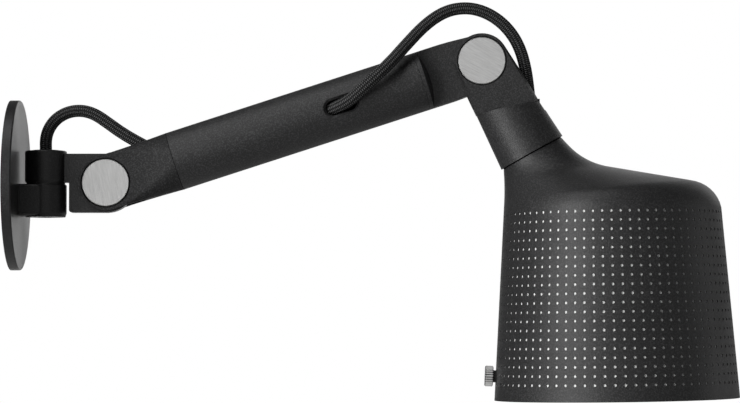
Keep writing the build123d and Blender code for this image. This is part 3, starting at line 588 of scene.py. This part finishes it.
# %% [markdown]
# ## The shade
#
# The shade is one sheet of metal: a tilted neck, a roof that sweeps down from it, a round shoulder and a wall
# that flares slightly. Its form is a family of circles. Each circle hangs between a line over the roof and a
# line down the wall side, and the circles fan out from the tilted neck to the level shoulder. We work on a
# flat chart first, where one step to the right is one column of holes and one step down is a place along
# those lines, and then roll the chart up onto the circles. The chart makes 1,500 holes easy: one square
# tile with a round hole, copied 77 times round and 20 times down.

# %% The two lines that carry the circles
head_lean = radians(29)
head_axis = Vector((sin(head_lean), 0, -cos(head_lean)))
head_out = Vector((cos(head_lean), 0, sin(head_lean)))
neck_centre = Vector((302.004, 0, 18.366))
neck_radius, flank_length = 19.15, 110.0
roof_bends, side_bend = (40.5, 20), 150
roof_corners = [neck_centre + head_out * neck_radius, (332.2, 0, 13.2), (409.8, 0, -0.1), (421.0, 0, -122.4)]
side_corners = [neck_centre - head_out * neck_radius, (285.95, 0, -2.0), (279.7, 0, -124.4)]


def rounded_line(corners, radii, steps=24):
    """Points along straight runs whose inner corners are rounded, close enough for a smooth sheet."""
    corners = [Vector(c) for c in corners]
    points = [corners[0]]
    for before, corner, after, radius in zip(corners, corners[1:], corners[2:], radii):
        back, forth = (before - corner).normalized(), (after - corner).normalized()
        half = back.angle(forth) / 2
        centre = corner + (back + forth).normalized() * (radius / sin(half))
        start = corner + back * (radius / tan(half))
        end = corner + forth * (radius / tan(half))
        for i in range(steps + 1):
            spoke = (start - centre).slerp(end - centre, i / steps)
            points.append(centre + spoke * radius)
    return points + [corners[-1]]


def place_on(points, distance):
    """The point that lies this far along a row of points."""
    for a, b in zip(points, points[1:]):
        run = (b - a).length
        if distance <= run:
            return a.lerp(b, distance / run)
        distance -= run
    return points[-1]


roof_line = rounded_line(roof_corners, roof_bends)
side_line = rounded_line(side_corners, (side_bend,))
roof_span = length_of(roof_line) - flank_length
side_span = length_of(side_line) - flank_length
print("roof line", round(length_of(roof_line), 2), "side line", round(length_of(side_line), 2))


def circle_at(station):
    """Two opposite points of a circle: station 0 is the neck, 1 the shoulder, and 2 the rim."""
    if station <= 1:
        return place_on(roof_line, station * roof_span), place_on(side_line, station * side_span)
    down = (station - 1) * flank_length
    return place_on(roof_line, roof_span + down), place_on(side_line, side_span + down)


# %% [markdown]
# The wall below the shoulder is straight from top to bottom, so two circles are enough for it, and a point on
# it is found by going down a straight line between them. The neck's top is closed by a flat ring with a
# hole for the tube that the shade hangs on.

# %% Roll the chart up
columns, rows = 77, 20
row_pitch = 5.130
first_row = 3.15
band_top = first_row - row_pitch / 2
band_end = band_top + rows * row_pitch
turn_offset = radians(-0.87)
shoulder_ends, rim_ends = circle_at(1), circle_at(2)


def on_shade(column, station, depth=0.0):
    """A place on the chart, in columns and stations, as a point in the shade's wall, in metres."""
    angle = 2 * pi * column / columns + turn_offset
    if station < 0:
        roof_at, side_at = circle_at(0)
    elif station > 1:
        share = station - 1
        roof_at = shoulder_ends[0].lerp(rim_ends[0], share)
        side_at = shoulder_ends[1].lerp(rim_ends[1], share)
    else:
        roof_at, side_at = circle_at(station)
    centre, across = (roof_at + side_at) / 2, (roof_at - side_at) / 2
    if station < 0:
        across = across * (1 + station)
    across = across * (1 - depth / max(across.length, 1))
    return (centre + across * sin(angle) - Vector((0, across.length, 0)) * cos(angle)) / 1000


# %% One pierced tile, and its copies
hole_radius, wall_radius = 0.82, 66.2
column_width = 2 * pi * wall_radius / columns


def chart_of_tiles():
    """All the tiles of the pierced wall, flat, with columns to the right and millimetres down."""
    bm = bmesh.new()
    turned = Matrix.Rotation(radians(15), 4, "Z")
    hole = bmesh.ops.create_circle(bm, segments=12, radius=hole_radius, matrix=turned)["verts"]
    bmesh.ops.scale(bm, vec=(1 / column_width, 1, 1), verts=hole)
    edge = bmesh.ops.create_circle(bm, segments=12, radius=1, matrix=turned)["verts"]
    for v in edge:
        reach = max(abs(v.co.x), abs(v.co.y))
        v.co = (round(v.co.x / reach * 3) / 6, round(v.co.y / reach * 3) / 6 * row_pitch, 0)
    bmesh.ops.bridge_loops(bm, edges=bm.edges[:])
    for along_x, count, step in ((True, columns, 1.0), (False, rows, row_pitch)):
        tile = bm.verts[:] + bm.edges[:] + bm.faces[:]
        for i in range(1, count):
            copy = bmesh.ops.duplicate(bm, geom=tile)["geom"]
            shift = (step * i, 0, 0) if along_x else (0, step * i, 0)
            bmesh.ops.translate(bm, vec=shift, verts=[g for g in copy if isinstance(g, bmesh.types.BMVert)])
    bmesh.ops.translate(bm, vec=(0, first_row, 0), verts=bm.verts)
    return bm


bm = chart_of_tiles()
print("tiles:", len(bm.faces), "faces")
for v in bm.verts:
    v.co = on_shade(v.co.x, 1 + v.co.y / flank_length)


# %% The plain parts of the sheet
def plain_sheet(bm, places):
    """Three vertices a column round each place, drawn out to the next. A place is a station and a depth."""
    ring = bmesh.ops.create_circle(bm, segments=3 * columns, radius=1)["verts"]
    column_of = {v: i / 3 - 0.5 for i, v in enumerate(ring)}
    edges = list({e for v in ring for e in v.link_edges})
    for turn, (station, depth) in enumerate(places):
        if turn:
            edges, column_of = drawn_out(bm, edges, column_of)
        for v, column in column_of.items():
            v.co = on_shade(column, station, depth)


tube_hole_radius, roof_steps = 4.5, 34
neck_stations = [tube_hole_radius / neck_radius - 1, -0.35, -0.03, 0.0]
roof_stations = neck_stations + [i / roof_steps for i in range(1, roof_steps)]
roof_stations += [1.0, 1 + band_top / flank_length]
plain_sheet(bm, [(station, 0) for station in roof_stations])
rim_stations = [1 + band_end / flank_length, 1.97, 1.997, 2.0]
plain_sheet(bm, [(station, 0) for station in rim_stations])


# %% Give a sheet its wall
def walled_piece(bm, name, wall, finish):
    """Close a sheet's seams, thicken it inwards, and keep the edges of its holes crisp."""
    bmesh.ops.remove_doubles(bm, verts=bm.verts, dist=0.00002)
    bmesh.ops.recalc_face_normals(bm, faces=bm.faces)
    inside_shade = Vector((0.35, 0, -0.06))
    if sum(f.normal.dot(f.calc_center_median() - inside_shade) for f in bm.faces) < 0:
        bmesh.ops.reverse_faces(bm, faces=bm.faces)
    bmesh.ops.solidify(bm, geom=bm.faces[:], thickness=wall)
    for face in bm.faces:
        face.smooth = True
    loose = sum(1 for e in bm.edges if not e.is_manifold)
    piece = piece_from(bm, name)
    piece.data.set_sharp_from_angle(angle=radians(40))
    piece.data.materials.append(finish)
    print(name, "has", len(piece.data.polygons), "faces and", loose, "open edges")
    return piece


shade_wall, sleeve_wall = 0.00045, 0.0008
shade = walled_piece(bm, "pierced_shade", shade_wall, black_coat)
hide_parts("shade")
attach(shade, "shade_body")
print("shade spans", [round(1000 * v, 1) for v in shade.dimensions])

# %% [markdown]
# ## The white sleeve behind the holes
#
# The bright dots in the wall aren't paint. A white sleeve stands close behind the pierced wall, and the light
# from the left passes through each hole and lights it. Close matters: with a deep gap, the light that enters
# a hole would land to one side of what the eye sees through it, and the dots would be dark.

# %% The sleeve
bm = bmesh.new()
sleeve_length, sleeve_depth, flange_depth = 105, 0.55, 6
sleeve_top, sleeve_end = 1.002, 1 + sleeve_length / flank_length
plain_sheet(bm, [(sleeve_top, flange_depth)] + [(s, sleeve_depth) for s in (sleeve_top, 1.5, sleeve_end)])
sleeve = walled_piece(bm, "white_sleeve", sleeve_wall, white_enamel)
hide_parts("shade_liner")
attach(sleeve, "shade_body")

# %% [markdown]
# ## The knurled knob
#
# The dimmer's knob is a short steel cylinder with straight ridges, so that dry fingers can turn it. One ring of
# points, four to a ridge, two out and two in, is the knob's cross-section. Drawn out along the axis in three
# steps, narrower at both ends, it gets its chamfers. The faces at the bottom of the grooves take a steel that
# is nearly black: painted shade, because so small a groove would else catch as much light as the ridges.

# %% The knob
ridges, knob_radius, groove_depth, stands_off = 24, 0.00595, 0.0006, 0.0016
knob_axis = Vector((-0.998699, 0, 0.050996))
knob_foot = Vector((0.280415, 0, -0.1104)) + knob_axis * stands_off
bm = bmesh.new()
ring = bmesh.ops.create_circle(bm, segments=4 * ridges, radius=1)["verts"]
ridge_of = {v: (v.co.normalized(), knob_radius - groove_depth * (i % 4 > 1)) for i, v in enumerate(ring)}
edges = bm.edges[:]
chamfered = [(0, 0.90), (0.0004, 1), (0.0043, 1), (0.0047, 0.90)]
for turn, (height, share) in enumerate(chamfered):
    if turn:
        edges, ridge_of = drawn_out(bm, edges, ridge_of)
    for v, (spoke, radius) in ridge_of.items():
        v.co = spoke * radius * share + Vector((0, 0, height))
# Faces deep in the grooves take the painted-shade steel.
groove_limit = (knob_radius - 0.75 * groove_depth) * 0.99
for face in bm.faces:
    face.material_index = 1 if face.calc_center_median().xy.length < groove_limit else 0
bmesh.ops.holes_fill(bm, edges=[e for e in bm.edges if e.is_boundary])
bmesh.ops.recalc_face_normals(bm, faces=bm.faces)
bmesh.ops.transform(bm, matrix=Matrix.Translation(knob_foot) @ turned_to(knob_axis), verts=bm.verts)
knob = piece_from(bm, "knurled_knob")
for steel in (knob_steel, groove_painted_shade_steel):
    knob.data.materials.append(steel)
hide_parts("dimmer_knob")
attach(knob, "knob")
print("knob:", len(knob.data.polygons), "faces")

# %% [markdown]
# ## Two dark lines
#
# Where two parts meet, the eye expects a dark line and never daylight. A thin black ring of painted shadow
# fills most of the gap between the yoke and the shade's neck, and a hair-thin one paints the shadow in the
# joint between the rear fork and the arm tube.


# %% Thin rings of painted shadow in the gaps
def thin_shadow_ring(name, centre, along, radius, bore, thickness, finish, body):
    bm = bmesh.new()
    for r in (radius, bore):
        bmesh.ops.create_circle(bm, segments=96, radius=r)
    bmesh.ops.bridge_loops(bm, edges=bm.edges[:])
    bmesh.ops.recalc_face_normals(bm, faces=bm.faces)
    bmesh.ops.solidify(bm, geom=bm.faces[:], thickness=thickness)
    middle_height = sum(v.co.z for v in bm.verts) / len(bm.verts)
    bmesh.ops.translate(bm, vec=(0, 0, -middle_height), verts=bm.verts)
    bmesh.ops.transform(bm, matrix=Matrix.Translation(centre) @ turned_to(along), verts=bm.verts)
    shadow_piece = piece_from(bm, name)
    shadow_piece.data.materials.append(finish)
    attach(shadow_piece, body)
    print(name, "stands at", [round(1000 * v, 1) for v in centre])
    return shadow_piece


# %% In the neck's gap and in the arm's seam
arm_axis = Vector((0.951057, 0, 0.309017))
neck_gap = (neck_centre - head_axis * 0.35) / 1000
arm_seam = Vector((0.0554, 0, 0.0012)) + arm_axis * 0.04143
thin_shadow_ring(
    "neck_painted_shadow_ring", neck_gap, head_axis, radius=0.0189, bore=0.0165, thickness=0.00064,
    finish=painted_shadow_black, body="shade_body",
)
thin_shadow_ring(
    "arm_seam_painted_shadow_ring", arm_seam, arm_axis, radius=0.01727, bore=0.0160, thickness=0.00026,
    finish=painted_shadow_black, body="arm",
)
